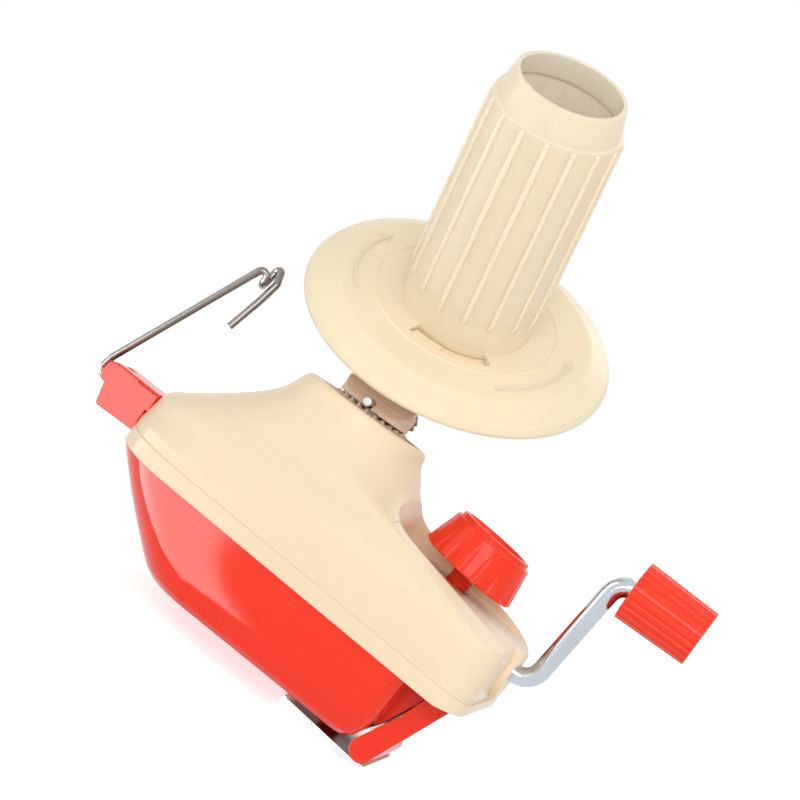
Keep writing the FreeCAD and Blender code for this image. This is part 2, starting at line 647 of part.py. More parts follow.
def planet_gear():
    teeth = bevel_gear(PLANET_TEETH, PLANET_ANGLE, SUN_SLANT, SUN_FACE, ADDENDUM, DEDENDUM, 90)
    hub = rod(4.5, vec(0, 0, start_of_planet_hub()), vec(0, 0, SUN_SLANT_IN))
    gear = join([teeth, hub]).cut(rod(LAY_SHAFT_RADIUS, vec(0, 0, 0), vec(0, 0, 60)))
    return moved(gear, lay_frame())


def start_of_planet_hub():
    """Distance from the planet apex to the top of the planet hub, along the lay shaft."""
    return LAY_APEX_DISTANCE - PLANET_HUB_TOP


def lay_gear():
    gear = spur_gear(LAY_TEETH, ADDENDUM, DEDENDUM, GEAR_TOP - GEAR_BOTTOM, 90)
    hub = rod(4.2, vec(0, 0, SLAB_TOP + 0.3 - GEAR_BOTTOM), vec(0, 0, 1))
    body = join([gear, hub]).cut(rod(LAY_SHAFT_RADIUS, vec(0, 0, -20), vec(0, 0, 20)))
    return moved(body, tilted_frame(GEAR_BOTTOM, LAY_SIDE))


def spool_axle():
    """Inclined steel axle with a head that keeps the hub on."""
    shaft = rod(AXLE_RADIUS, vec(0, 0, SLAB_BOTTOM), vec(0, 0, HUB_TOP + 0.4))
    head = rod(AXLE_RADIUS + 2, vec(0, 0, HUB_TOP + 0.3), vec(0, 0, HUB_TOP + 2.3))
    return moved(join([shaft, head]), tilted_frame(0))


LUG_INNER = 25.6
LUG_OUTER = 29.6
FOOT_RADIUS = 24.2       # the spool where it stands on the flange
WINDOW_INNER = FOOT_RADIUS + 0.1
WINDOW_OUTER = 30.3
WINDOW_START = -102.0    # degrees round the spool axis
WINDOW_SPAN = 61.0
LUG_SPAN = 24.0
LUG_HEIGHT = 1.2


def ring_sector(inner, outer, low, high, start, span):
    """Piece of a ring between two angles."""
    points = [vec(inner, 0, low), vec(outer, 0, low), vec(outer, 0, high), vec(inner, 0, high)]
    face = polygon_face(points)
    face.rotate(vec(0, 0, 0), Z_AXIS, start)
    return face.revolve(vec(0, 0, 0), Z_AXIS, span)


def spool_hub():
    """Geared hub the spool twists onto, with two lugs in the flange windows."""
    phase = 270 + 180.0 / SPOOL_TEETH
    gear = spur_gear(SPOOL_TEETH, ADDENDUM, DEDENDUM, GEAR_TOP - GEAR_BOTTOM + 0.5, phase)
    gear = moved(gear, FreeCAD.Placement(vec(0, 0, GEAR_BOTTOM), FreeCAD.Rotation()))
    neck = rod(14.0, vec(0, 0, GEAR_TOP), vec(0, 0, SEAT_TOP - 1))
    seat = rod(31.5, vec(0, 0, SEAT_TOP - 2.4), vec(0, 0, SEAT_TOP))
    tube = rod(8.0, vec(0, 0, GEAR_TOP), vec(0, 0, HUB_TOP))
    lugs = [ring_sector(LUG_INNER, LUG_OUTER, SEAT_TOP - 0.5, SEAT_TOP + LUG_HEIGHT,
                        WINDOW_START + 1.5 + turn, LUG_SPAN) for turn in (0, 180)]
    hub = join([gear, neck, seat, tube] + lugs)
    hub = hub.cut(rod(AXLE_RADIUS + RUNNING, vec(0, 0, -10), vec(0, 0, HUB_TOP + 1)))
    return moved(hub, tilted_frame(0))


SPOOL_WALL = 1.8
LIP_START = SPOOL_LENGTH - 10.1      # the plain tapered mouth begins here


def spool():
    """Flange and slightly tapered ribbed spool in one moulding."""
    outer_wall = [
        (FOOT_RADIUS, WEB_TOP), (FOOT_RADIUS - 0.1, 11.0), (FOOT_RADIUS - 0.3, 14.0),
        (SPOOL_RADIUS - 0.2, 18.0), (SPOOL_RADIUS, 21.0),
        (22.5, LIP_START), (21.3, LIP_START + 0.5), (19.0, SPOOL_LENGTH),
    ]
    inner_wall = [(radius - SPOOL_WALL, height + 0.2) for radius, height in reversed(outer_wall[:-1])]
    top_inner = [(19.0 - 1.5, SPOOL_LENGTH), (19.5, LIP_START + 1.8)]
    rim = FLANGE_RADIUS
    flange_top = [
        (rim, 0.0), (rim, 1.0), (rim - 1.4, 3.0), (rim - 9.2, 7.4), (rim - 10.5, 7.7),
        (35.0, WEB_TOP), (34.7, WEB_TOP + 0.5), (33.9, WEB_TOP + 0.5), (33.6, WEB_TOP),
    ]
    floor_z = SEAT_TOP + LOOSE
    flange_under = [
        (8.3, WEB_TOP), (8.3, floor_z), (rim - 11.8, floor_z), (rim - 3.4, 0.8), (rim - 2.4, 0.0),
    ]
    profile = flange_top + outer_wall + top_inner + inner_wall[1:] + flange_under
    body = revolve(profile)
    ribs = []
    for index in range(RIB_COUNT):
        ribs.append(rib(-70.0 + index * 360.0 / RIB_COUNT))
    windows = [ring_sector(WINDOW_INNER, WINDOW_OUTER, SEAT_TOP - 1, WEB_TOP + 3,
                           WINDOW_START + turn, WINDOW_SPAN) for turn in (0, 180)]
    body = body.fuse(ribs).removeSplitter()
    body = body.cut(windows)
    return moved(body, tilted_frame(0))


RIB_LOW = 17.0
RIB_HIGH = LIP_START - 1.0
RIB_HEIGHT = 0.55
RIB_WIDTH = 1.5


def rib(angle):
    """Thin raised rib that follows the taper of the spool."""
    low_radius = SPOOL_RADIUS - 0.1
    high_radius = 22.5
    points = [
        (low_radius - 0.8, RIB_LOW), (low_radius + RIB_HEIGHT * 0.2, RIB_LOW),
        (low_radius + RIB_HEIGHT, RIB_LOW + 3.0), (high_radius + RIB_HEIGHT, RIB_HIGH - 0.8),
        (high_radius + RIB_HEIGHT * 0.4, RIB_HIGH), (high_radius - 0.8, RIB_HIGH),
    ]
    strip = extrude_xz(points, -RIB_WIDTH / 2, RIB_WIDTH / 2)
    strip.rotate(vec(0, 0, 0), Z_AXIS, angle)
    return strip


# Table clamp
TIP_RADIUS = 2.6
TIP_DEPTH = 0.7          # how far the screw end reaches into its button
KNOB_SHOULDER = 13.7
KNOB_RING = 14.1
KNOB_FLUTES = 20


def plate_distance():
    """Distance from the knob underside to the jaw plate, down the screw axis."""
    place = plate_frame()
    normal = place.Rotation.multVec(Z_AXIS)
    axis = clamp_frame(KNOB_BASE[1]).Rotation.multVec(Z_AXIS)
    return (clamp_axis_point(KNOB_BASE[1]) - place.Base).dot(normal) / axis.dot(normal)


def clamp_screw():
    """Knob and screw in one piece, with a turned-down end that swivels in the jaw plate."""
    reach = plate_distance()
    ring_wall = 1.7
    knob = revolve([
        (0, 0), (KNOB_RADIUS - 0.6, 0), (KNOB_RADIUS, 0.6), (15.5, KNOB_SHOULDER - 0.5),
        (15.0, KNOB_SHOULDER), (KNOB_RING, KNOB_SHOULDER), (KNOB_RING, KNOB_HEIGHT - 0.3),
        (KNOB_RING - 0.3, KNOB_HEIGHT), (KNOB_RING - ring_wall, KNOB_HEIGHT),
        (KNOB_RING - 3.0, KNOB_HEIGHT - 2.2), (0, KNOB_HEIGHT - 2.2),
    ])
    core = SCREW_RADIUS + 2.5
    hollow = revolve([(core, -1), (KNOB_RADIUS - 3.0, -1), (12.8, 9.5), (core, 9.5)])
    flutes = []
    flute_radius = 1.9
    for index in range(KNOB_FLUTES):
        angle = 2 * math.pi * index / KNOB_FLUTES
        across = vec(math.cos(angle), math.sin(angle), 0)
        low = across * (KNOB_RADIUS + flute_radius - 0.5) + vec(0, 0, -1)
        high = across * (15.6 + flute_radius - 0.25) + vec(0, 0, KNOB_SHOULDER + 2.0)
        flutes.append(rod(flute_radius, low, high))
    knob = knob.cut([hollow] + flutes)
    stem = rod(SCREW_RADIUS, vec(0, 0, LOOSE - reach), vec(0, 0, 2))
    tip = rod(TIP_RADIUS, vec(0, 0, -reach - PLATE_THICKNESS - LOOSE - TIP_DEPTH),
              vec(0, 0, 1 - reach))
    return moved(join([knob, stem, tip]), clamp_frame(KNOB_BASE[1]))


def screw_button():
    """Riveted washer under the plate that holds the screw end."""
    top = -plate_distance() - PLATE_THICKNESS - LOOSE
    low = top - 1.2
    washer = rod(4.4, vec(0, 0, low), vec(0, 0, top))
    washer = washer.cut(rod(TIP_RADIUS, vec(0, 0, top - TIP_DEPTH), vec(0, 0, top + 1)))
    return moved(washer, clamp_frame(KNOB_BASE[1]))


def clamp_nut():
    """Cross barrel that swivels in the lower housing as the screw swings."""
    nut = nut_centre()
    barrel = rod(NUT_RADIUS, nut + vec(0, -NUT_HALF, 0), nut + vec(0, NUT_HALF, 0))
    bore = moved(rod(SCREW_RADIUS + LOOSE, vec(0, 0, -60), vec(0, 0, 0)), clamp_frame(KNOB_BASE[1]))
    return barrel.cut(bore)


JAW_FOOT = (67.6, -0.1)
JAW_FOOT_RADIUS = 4.1
CHEEK = (18.0, 22.0)     # inner and outer side of each cheek
EYE_RADIUS = PIVOT_RADIUS + 2.2
RECESS = vec(-2.4, 0, 1.0)
WEB_STEP = vec(-2.8, 0, 1.2)
JAW_BACK = ((71.4, -1.7), (82.9, 25.9), (83.2, 31.0))
JAW_FRONT = ((75.0, 31.0), (75.0, 26.0), (73.1, 21.1), (71.3, 15.6), (68.7, 11.1),
             (66.3, 6.3), (63.9, 1.6))


def cheek(low, high, recess):
    """Side of the jaw between two y values, its back edge moved in by a recess."""
    back = [(x + recess.x, z + recess.z) for x, z in JAW_BACK[:2]] + [JAW_BACK[2]]
    side = extrude_xz(back + list(JAW_FRONT), low, high)
    foot = rod(JAW_FOOT_RADIUS, vec(JAW_FOOT[0], low, JAW_FOOT[1]), vec(JAW_FOOT[0], high, JAW_FOOT[1]))
    eye = rod(EYE_RADIUS, vec(PIVOT[0], low, PIVOT[1]), vec(PIVOT[0], high, PIVOT[1]))
    return [side, foot, eye]


def clamp_jaw():
    """Lever hanging from the pivot: two cheeks, a cross web and a round foot."""
    inner, outer = CHEEK
    near = cheek(-outer, -inner, vec(0, 0, 0))
    far = cheek(inner, outer, RECESS)
    low = vec(JAW_BACK[0][0], 0, JAW_BACK[0][1]) + RECESS
    high = vec(JAW_BACK[1][0], 0, JAW_BACK[1][1]) + RECESS
    high = low + (high - low) * 0.93
    corners = [low, high, high + WEB_STEP, low + WEB_STEP]
    web = extrude_xz([(corner.x, corner.z) for corner in corners], -inner - 0.5, inner + 0.5)
    foot = rod(JAW_FOOT_RADIUS, vec(JAW_FOOT[0], -outer, JAW_FOOT[1]), vec(JAW_FOOT[0], outer, JAW_FOOT[1]))
    jaw = join(near + far + [web, foot])
    hole = rod(PIVOT_RADIUS + RUNNING, vec(PIVOT[0], -30, PIVOT[1]), vec(PIVOT[0], 30, PIVOT[1]))
    return jaw.cut([hole] + [rivet_shank(y) for y in RIVET_SIDES])


RIVET_SIDES = (-10.0, 10.0)
RIVET_RADIUS = 1.5


def plate_frame():
    """Frame in the top face of the jaw plate, under the jaw foot."""
    slope = math.radians(PLATE_SLOPE)
    reach = JAW_FOOT_RADIUS + RUNNING
    point = vec(JAW_FOOT[0] - reach * math.sin(slope), 0, JAW_FOOT[1] - reach * math.cos(slope))
    return FreeCAD.Placement(point, FreeCAD.Rotation(Y_AXIS, PLATE_SLOPE))


PLATE_LENGTH = 30.4
RIM_BOTTOM = -2.4


def clamp_plate():
    """Steel plate under the table edge: folded rims and a curl round the jaw foot."""
    side, thick = PLATE_HALF_WIDTH, PLATE_THICKNESS
    sheet = box((-PLATE_LENGTH, 0), (-side, side), (-thick, 0))
    near_rim = box((-PLATE_LENGTH, -3.0), (-side, thick - side), (RIM_BOTTOM, 0))
    far_rim = box((-PLATE_LENGTH, -3.0), (side - thick, side), (RIM_BOTTOM, 0))
    end_rim = box((-PLATE_LENGTH, thick - PLATE_LENGTH), (-side, side), (RIM_BOTTOM, 0))
    middle = vec(0, 0, JAW_FOOT_RADIUS + RUNNING)
    inner = JAW_FOOT_RADIUS + RUNNING
    curl = rod(inner + thick, middle - vec(0, side, 0), middle + vec(0, side, 0))
    bend_end = inner * 0.12
    curl = curl.cut([rod(inner, middle - vec(0, side + 1, 0), middle + vec(0, side + 1, 0)),
                     box((-20, 0), (-30, 30), (-20, 20)),
                     box((-1, 20), (-30, 30), (bend_end, 20))])
    plate = join([sheet, near_rim, far_rim, end_rim, curl])
    corner_edges = [edge for edge in plate.Edges
                    if abs(edge.BoundBox.XLength) < 0.01 and abs(edge.BoundBox.YLength) < 0.01
                    and edge.BoundBox.XMin < 0.01 - PLATE_LENGTH]
    plate = plate.makeFillet(1.2, corner_edges)
    plate = moved(plate, plate_frame())
    screw_hole = moved(rod(TIP_RADIUS + 0.45, vec(0, 0, -90), vec(0, 0, -40)), clamp_frame(KNOB_BASE[1]))
    return plate.cut([screw_hole] + [rivet_shank(y) for y in RIVET_SIDES])


def rivet_shank(y):
    return moved(rod(RIVET_RADIUS, vec(0, y, -PLATE_THICKNESS - 2), vec(0, y, 4.5)), plate_frame())


def jaw_rivet(y):
    rivet = revolve([(0, -1.3), (0.9, -1.3), (1.8, -1.0), (2.4, -0.6), (2.8, 0.0), (RIVET_RADIUS, 0.0),
                     (RIVET_RADIUS, PLATE_THICKNESS + 4.5), (0, PLATE_THICKNESS + 4.5)])
    place = FreeCAD.Placement(vec(0, y, -PLATE_THICKNESS), FreeCAD.Rotation())
    return moved(rivet, plate_frame().multiply(place))


def pivot_pin():
    reach = CHEEK[1] + 0.6
    return rod(PIVOT_RADIUS, vec(PIVOT[0], -reach, PIVOT[1]), vec(PIVOT[0], reach, PIVOT[1]))


# Wire guide
PLUG_HALF = 6.0
PLUG_HEIGHTS = (36.6, 46.4)
FORK_HALF = 2.0          # half width of the slot the wire hinges in
HINGE_PIN_HALF = 5.5     # the pin ends inside the walls of the block


def guide_holder():
    """Forked block plugged into the guide end."""
    half = HOLDER_HALF_WIDTH
    wall = GUIDE_END - 0.3
    outline = [(wall, 33.4), (wall, 48.0), (-81.5, 48.2), (-84.3, 47.2), (-84.9, 43.6),
               (-84.2, 40.5), (-81.8, 39.9), (-79.9, 32.9), (-79.0, 32.2), (-63.2, 32.6)]
    body = extrude_xz(outline, -half, half)
    edges = [edge for edge in body.Edges if edge.BoundBox.ZMin > 47.0 and edge.BoundBox.YLength < 0.01]
    body = body.makeFillet(0.5, edges)
    plug = box((wall - 1, GUIDE_END + 9.5), (-PLUG_HALF, PLUG_HALF), PLUG_HEIGHTS)
    holder = join([body, plug])
    fork = box((-90, -77.8), (-FORK_HALF, FORK_HALF), (30, 50))
    pin_hole = rod(HINGE_PIN_RADIUS, vec(HINGE[0], -HINGE_PIN_HALF, HINGE[1]),
                   vec(HINGE[0], HINGE_PIN_HALF, HINGE[1]))
    parting = box((-71.5, GUIDE_END + 1), (-half - 1, 0.6 - half), (47.1, 47.6))
    relief = box((-63.4, -60.5), (-half - 1, 3 - half), (30, 41))
    tab = box((-63.9, wall), (0.4 - half, 2.5 - half), (35.4, 39.4))
    return holder.cut([fork, pin_hole, parting, relief]).fuse(tab).removeSplitter()


def hinge_pin():
    return rod(HINGE_PIN_RADIUS, vec(HINGE[0], -HINGE_PIN_HALF, HINGE[1]),
               vec(HINGE[0], HINGE_PIN_HALF, HINGE[1]))


LOOP_RADIUS = 2.7
WIRE_BEND = 1.9
WIRE_POINTS = (
    (-89.5, 0.0, 41.0), (-88.1, 0.0, 47.6), (-58.7, 0.0, 111.0), (-59.5, 1.2, 99.4),
    (-61.3, 7.4, 98.6), (-60.4, 9.0, 109.8), (-55.8, 3.4, 102.0), (-57.0, 2.4, 94.0),
    (-59.6, 0.0, 80.6),
)


def guide_wire():
    """Bent wire with a hinge loop at its foot and an open pigtail eye at its top."""
    foot = vec(HINGE[0] + 0.6, 0, HINGE[1] - LOOP_RADIUS)
    points = [foot] + [vec(*point) for point in WIRE_POINTS]
    wire = bent_rod(points, WIRE_RADIUS, WIRE_BEND)
    loop = Part.makeTorus(LOOP_RADIUS, WIRE_RADIUS, vec(HINGE[0], 0, HINGE[1]), Y_AXIS)
    return join([wire, loop])


def build():
    os.makedirs("parts", exist_ok=True)
    nodes = {
        "upper_shell": upper_shell(),
        "lower_housing": lower_housing(),
        "sun_ring": sun_ring(),
        "guide_holder": guide_holder(),
        "guide_wire": guide_wire(),
        "crank_rod": crank_rod(),
        "crank_gear": crank_gear(),
        "crank_grip": crank_grip(),
        "spindle": spindle(),
        "spindle_pinion": spindle_pinion(),
        "drive_pin": drive_pin(),
        "head_carrier": head_carrier(),
        "spool_axle": spool_axle(),
        "lay_shaft": lay_shaft(),
        "planet_gear": planet_gear(),
        "lay_gear": lay_gear(),
        "spool_hub": spool_hub(),
        "spool": spool(),
        "clamp_screw": clamp_screw(),
        "screw_button": screw_button(),
        "clamp_nut": clamp_nut(),
        "clamp_jaw": clamp_jaw(),
        "clamp_plate": clamp_plate(),
        "pivot_pin": pivot_pin(),
        "hinge_pin": hinge_pin(),
    }
    for index, y in enumerate(RIVET_SIDES):
        nodes["jaw_rivet_%d" % (index + 1)] = jaw_rivet(y)
    for index, (x, y) in enumerate(SCREW_SPOTS):
        nodes["housing_screw_%d" % (index + 1)] = housing_screw(x, y)
    for name, shape in nodes.items():
        shape.exportStep("parts/%s.step" % name)
        print(name, shape.ShapeType, len(shape.Solids), round(shape.Volume, 1), shape.isValid())


build()
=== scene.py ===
import math

import bmesh
import bpy
from mathutils import Matrix, Vector


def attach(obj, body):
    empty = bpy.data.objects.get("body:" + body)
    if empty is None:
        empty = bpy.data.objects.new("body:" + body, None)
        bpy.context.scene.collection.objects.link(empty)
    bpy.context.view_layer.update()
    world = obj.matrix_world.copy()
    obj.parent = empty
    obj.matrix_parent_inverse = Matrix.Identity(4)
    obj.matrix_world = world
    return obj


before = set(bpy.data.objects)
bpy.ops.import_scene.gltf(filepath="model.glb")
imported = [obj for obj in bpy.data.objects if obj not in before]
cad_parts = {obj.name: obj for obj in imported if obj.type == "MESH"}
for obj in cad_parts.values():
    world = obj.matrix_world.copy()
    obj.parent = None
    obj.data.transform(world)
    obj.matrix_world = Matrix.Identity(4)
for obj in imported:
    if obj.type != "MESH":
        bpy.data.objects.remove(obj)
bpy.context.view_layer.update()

# Camera, floor and studio light
# The winder is seen from its long side, a little from the crank end, with the camera rolled so
# that the body runs down to the right. It stands over a plain white floor in soft light.
AZIMUTH = math.radians(13.32)
ELEVATION = math.radians(0.59)
ROLL = math.radians(36.19)
FOCAL_PIXELS = 1540.0
IMAGE_PIXELS = 800.0
OPTICAL_CENTRE = (429.5, 414.4)
CAMERA_PLACE = (0.1350, -0.5014, 0.1025)
FLOOR_HEIGHT = -0.0072

back = Vector((math.sin(AZIMUTH) * math.cos(ELEVATION),
               -math.cos(AZIMUTH) * math.cos(ELEVATION), math.sin(ELEVATION)))
level = Vector((math.cos(AZIMUTH), math.sin(AZIMUTH), 0))
upright = back.cross(level)
side = level * math.cos(ROLL) + upright * math.sin(ROLL)
up = upright * math.cos(ROLL) - level * math.sin(ROLL)
camera_data = bpy.data.cameras.new("camera")
camera = bpy.data.objects.new("camera", camera_data)
bpy.context.scene.collection.objects.link(camera)
camera.matrix_world = Matrix((
    (side.x, up.x, back.x, CAMERA_PLACE[0]),
    (side.y, up.y, back.y, CAMERA_PLACE[1]),
    (side.z, up.z, back.z, CAMERA_PLACE[2]),
    (0, 0, 0, 1)))
camera_data.sensor_width = 36.0
camera_data.lens = camera_data.sensor_width * FOCAL_PIXELS / IMAGE_PIXELS
camera_data.shift_x = (IMAGE_PIXELS / 2 - OPTICAL_CENTRE[0]) / IMAGE_PIXELS
camera_data.shift_y = (OPTICAL_CENTRE[1] - IMAGE_PIXELS / 2) / IMAGE_PIXELS
camera_data.clip_start = 0.01
bpy.context.scene.camera = camera
bpy.context.scene.view_settings.view_transform = "Standard"


def lamp(name, place, target, width, height, power):
    """Soft rectangular lamp that faces a point of the winder."""
    data = bpy.data.lights.new(name, "AREA")
    data.shape = "RECTANGLE"
    data.size = width
    data.size_y = height
    data.energy = power
    light = bpy.data.objects.new(name, data)
    light.location = place
    aim = Vector(target) - Vector(place)
    light.rotation_euler = aim.to_track_quat("-Z", "Y").to_euler()
    light.visible_camera = False
    bpy.context.scene.collection.objects.link(light)


lamp("front_lamp", (0.22, -1.20, 0.42), (0.0, 0.0, 0.12), 0.7, 0.7, 6.0)
lamp("right_lamp", (0.80, -0.50, 0.75), (0.0, 0.0, 0.09), 0.6, 0.6, 2.1)
lamp("left_lamp", (-0.95, -0.45, 0.40), (0.0, 0.0, 0.08), 0.8, 0.8, 1.8)
lamp("rear_lamp", (0.1, 0.75, 0.95), (0.0, 0.0, 0.10), 0.7, 0.7, 1.8)
# A wide low card on the left: the glossy sides mirror it, and the floor keeps its light off the
# rest of the winder
lamp("low_card", (-0.780, -0.5065, -0.485), (0.0, 0.0, -0.485), 1.56, 0.89, 33.0)


def new_material(name):
    """Empty node material with its output, ready for links."""
    material = bpy.data.materials.new(name)
    material.use_nodes = True
    tree = material.node_tree
    tree.nodes.clear()
    output = tree.nodes.new("ShaderNodeOutputMaterial")
    return material, tree, output


def arithmetic(tree, operation, first, second):
    """Math node; each operand is a number or a socket."""
    node = tree.nodes.new("ShaderNodeMath")
    node.operation = operation
    for socket, value in zip(node.inputs, (first, second)):
        if isinstance(value, float):
            socket.default_value = value
        else:
            tree.links.new(value, socket)
    return node.outputs[0]


def seen_directly(tree):
    """1 for camera, mirror and see-through rays, 0 for the rays that carry light."""
    ray = tree.nodes.new("ShaderNodeLightPath")
    mirrored = arithmetic(tree, "MAXIMUM", ray.outputs["Is Camera Ray"],
                          ray.outputs["Is Glossy Ray"])
    return arithmetic(tree, "MAXIMUM", mirrored, ray.outputs["Is Transmission Ray"])


world = bpy.data.worlds.new("studio")
world.use_nodes = True
bpy.context.scene.world = world
sky = world.node_tree
sky.nodes.clear()
sky_output = sky.nodes.new("ShaderNodeOutputWorld")
ambient = sky.nodes.new("ShaderNodeBackground")
ambient.inputs["Color"].default_value = (1.0, 1.0, 1.0, 1.0)
ambient.inputs["Strength"].default_value = 0.50
shown = sky.nodes.new("ShaderNodeBackground")
shown.inputs["Color"].default_value = (1.0, 1.0, 1.0, 1.0)
shown.inputs["Strength"].default_value = 1.0
sky_mix = sky.nodes.new("ShaderNodeMixShader")
sky.links.new(seen_directly(sky), sky_mix.inputs["Fac"])
sky.links.new(ambient.outputs[0], sky_mix.inputs[1])
sky.links.new(shown.outputs[0], sky_mix.inputs[2])
sky.links.new(sky_mix.outputs[0], sky_output.inputs["Surface"])

FLOOR_REACH = 4.0
GLOW_SPAN = (0.10, 0.55)        # the floor brightens between these distances from the origin
GLOW_STRENGTH = (0.68, 0.90)

floor_mesh = bpy.data.meshes.new("floor")
floor_mesh.from_pydata([(x * FLOOR_REACH, y * FLOOR_REACH, FLOOR_HEIGHT)
                        for x, y in ((-1, -1), (1, -1), (1, 1), (-1, 1))],
                       [], [(0, 1, 2, 3)])
floor = bpy.data.objects.new("floor", floor_mesh)
bpy.context.scene.collection.objects.link(floor)
floor.visible_glossy = False
floor_paint, tree, output = new_material("white_floor")
matte = tree.nodes.new("ShaderNodeBsdfDiffuse")
matte.inputs["Color"].default_value = (0.9, 0.9, 0.9, 1.0)
glow = tree.nodes.new("ShaderNodeEmission")
span = tree.nodes.new("ShaderNodeVectorMath")
span.operation = "LENGTH"
tree.links.new(tree.nodes.new("ShaderNodeTexCoord").outputs["Object"], span.inputs[0])
fade = tree.nodes.new("ShaderNodeMapRange")
fade.inputs["From Min"].default_value, fade.inputs["From Max"].default_value = GLOW_SPAN
fade.inputs["To Min"].default_value, fade.inputs["To Max"].default_value = GLOW_STRENGTH
tree.links.new(span.outputs["Value"], fade.inputs["Value"])
tree.links.new(arithmetic(tree, "MULTIPLY", fade.outputs["Result"], seen_directly(tree)),
               glow.inputs["Strength"])
both = tree.nodes.new("ShaderNodeAddShader")
tree.links.new(matte.outputs[0], both.inputs[0])
tree.links.new(glow.outputs[0], both.inputs[1])
# Seen from below, the floor is clear
clear = tree.nodes.new("ShaderNodeBsdfTransparent")
one_way = tree.nodes.new("ShaderNodeMixShader")
tree.links.new(tree.nodes.new("ShaderNodeNewGeometry").outputs["Backfacing"],
               one_way.inputs["Fac"])
tree.links.new(both.outputs[0], one_way.inputs[1])
tree.links.new(clear.outputs[0], one_way.inputs[2])
tree.links.new(one_way.outputs[0], output.inputs["Surface"])
floor.data.materials.append(floor_paint)


# Upper shell
# The cream upper shell is one glossy injection moulding that sits on the red bowl and carries the
# neck of the head. The moulding leaves a very fine skin, faint flow marks and soft edges.


def value_input(group, name, value, low=0.0, high=10000.0):
    socket = group.interface.new_socket(name, in_out="INPUT", socket_type="NodeSocketFloat")
    socket.default_value = value
    socket.min_value = low
    socket.max_value = high


def colour_input(group, name, value):
    socket = group.interface.new_socket(name, in_out="INPUT", socket_type="NodeSocketColor")
    socket.default_value = value


def outputs(group, **kinds):
    for name, kind in kinds.items():
        group.interface.new_socket(name, in_out="OUTPUT", socket_type=kind)


def noise(tree, vector, scale, detail=3.0):
    node = tree.nodes.new("ShaderNodeTexNoise")
    node.inputs["Detail"].default_value = detail
    if isinstance(scale, float):
        node.inputs["Scale"].default_value = scale
    else:
        tree.links.new(scale, node.inputs["Scale"])
    tree.links.new(vector, node.inputs["Vector"])
    return node.outputs["Fac"]


def spread(tree, value, low, high, start=0.0, end=1.0):
    """Map a pattern to a range; low and high are numbers or sockets."""
    node = tree.nodes.new("ShaderNodeMapRange")
    node.inputs["From Min"].default_value = start
    node.inputs["From Max"].default_value = end
    tree.links.new(value, node.inputs["Value"])
    for name, limit in (("To Min", low), ("To Max", high)):
        if isinstance(limit, float):
            node.inputs[name].default_value = limit
        else:
            tree.links.new(limit, node.inputs[name])
    return node.outputs["Result"]


def blended(tree, amount, first, second):
    """Mix of two colours; each is a plain colour or a socket."""
    node = tree.nodes.new("ShaderNodeMix")
    node.data_type = "RGBA"
    tree.links.new(amount, node.inputs["Factor"])
    for name, colour in (("A", first), ("B", second)):
        if isinstance(colour, tuple):
            node.inputs[name].default_value = colour
        else:
            tree.links.new(colour, node.inputs[name])
    return node.outputs["Result"]


def moulded_skin():
    """Group: flow marks, fine skin and handling marks of moulded plastic."""
    group = bpy.data.node_groups.new("moulded skin", "ShaderNodeTree")
    colour_input(group, "Plastic", (0.8, 0.7, 0.5, 1.0))
    colour_input(group, "Deep plastic", (0.7, 0.6, 0.4, 1.0))
    for name, value in (("Flow", 0.3), ("Smooth", 0.25), ("Rubbed", 0.4), ("Skin", 0.1)):
        value_input(group, name, value)
    outputs(group, Colour="NodeSocketColor", Roughness="NodeSocketFloat", Height="NodeSocketFloat")
    given = group.nodes.new("NodeGroupInput")
    result = group.nodes.new("NodeGroupOutput")
    place = group.nodes.new("ShaderNodeTexCoord").outputs["Object"]

    flow = noise(group, place, 28.0, 4.0)
    amount = spread(group, flow, 0.0, given.outputs["Flow"])
    group.links.new(blended(group, amount, given.outputs["Plastic"], given.outputs["Deep plastic"]),
                    result.inputs["Colour"])
    marks = noise(group, place, 160.0, 5.0)
    group.links.new(spread(group, marks, given.outputs["Smooth"], given.outputs["Rubbed"]),
                    result.inputs["Roughness"])
    fine = noise(group, place, 2600.0, 2.0)
    wave = arithmetic(group, "MULTIPLY", noise(group, place, 90.0, 2.0), 2.5)
    ripple = arithmetic(group, "ADD", wave, fine)
    group.links.new(arithmetic(group, "MULTIPLY", ripple, given.outputs["Skin"]),
                    result.inputs["Height"])
    return group


def edge_find():
    """Group: 1 along sharp edges, 0 on open faces, and the softened normal."""
    group = bpy.data.node_groups.new("edge find", "ShaderNodeTree")
    value_input(group, "Radius", 0.0005)
    outputs(group, Edge="NodeSocketFloat", Normal="NodeSocketVector")
    given = group.nodes.new("NodeGroupInput")
    result = group.nodes.new("NodeGroupOutput")
    rounded = group.nodes.new("ShaderNodeBevel")
    rounded.samples = 6
    group.links.new(given.outputs["Radius"], rounded.inputs["Radius"])
    facing = group.nodes.new("ShaderNodeVectorMath")
    facing.operation = "DOT_PRODUCT"
    group.links.new(rounded.outputs["Normal"], facing.inputs[0])
    group.links.new(group.nodes.new("ShaderNodeNewGeometry").outputs["Normal"], facing.inputs[1])
    group.links.new(spread(group, facing.outputs["Value"], 1.0, 0.0, 0.80, 0.99),
                    result.inputs["Edge"])
    group.links.new(rounded.outputs["Normal"], result.inputs["Normal"])
    return group


